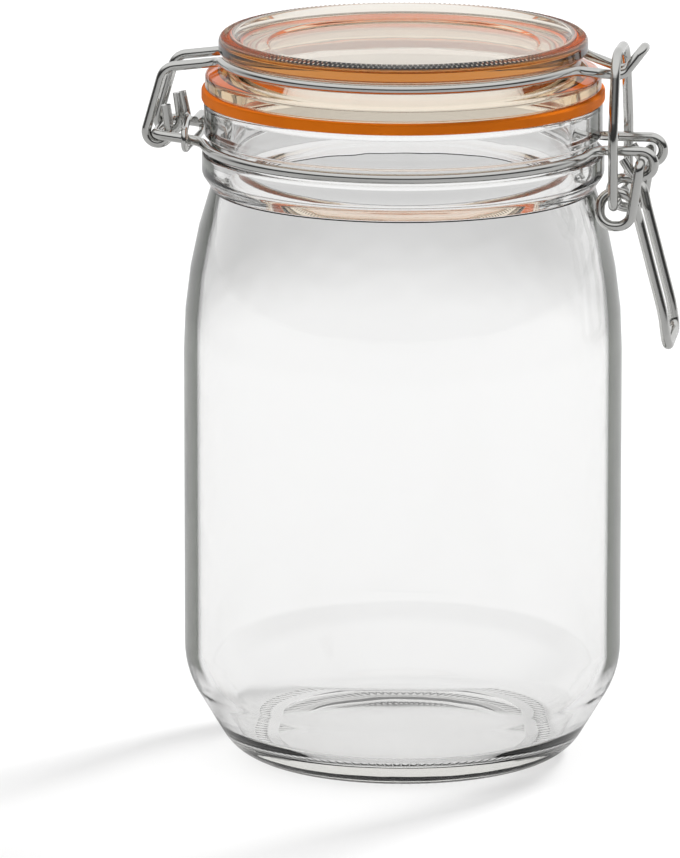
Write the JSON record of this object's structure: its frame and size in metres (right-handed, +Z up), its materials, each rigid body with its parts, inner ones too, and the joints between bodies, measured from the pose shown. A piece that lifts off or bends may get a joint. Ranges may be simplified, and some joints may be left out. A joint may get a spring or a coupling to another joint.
{
  "type": "preserving jar",
  "caption": "Clip-top preserving jar: round clear glass body and dished glass lid, flat rubber ring, and a toggle clamp and hinge of bent wire, shut and empty.",
  "frame": {"origin": "centre of the jar's bearing ring, on the plane that the jar stands on", "axes": "+Z up along the jar's axis, +X towards the toggle clamp, -X towards the hinge, +Y to the side"},
  "size_m": [0.1303, 0.107, 0.1789],
  "materials": {
    "jar_glass": "clear pressed glass",
    "lid_glass": "clear pressed glass",
    "rubber": "satin orange rubber",
    "wire": "bright plated steel wire"
  },
  "bodies": {
    "jar": {"glass_jar": "jar_glass", "rubber_ring": "rubber", "glass_lid": "lid_glass", "lid_wire": "wire", "neck_wire": "wire", "wire_clip": "wire"},
    "lever": {"lever": "wire"},
    "link": {"link": "wire"}
  },
  "joints": [
    {"name": "lever_hinge", "type": "hinge", "parent": "jar", "child": "lever", "pos_m": [0.0595, 0, 0.1505], "axis": [0, -1, 0], "range_deg": [0, 96]},
    {"name": "link_hinge", "type": "hinge", "parent": "lever", "child": "link", "pos_m": [0.0534, 0, 0.14025], "axis": [0, -1, 0], "range_deg": [-64.8, 0]}
  ],
  "couplings": [
    {"joint": "link_hinge", "follows": "lever_hinge", "ratio": -0.675}
  ]
}
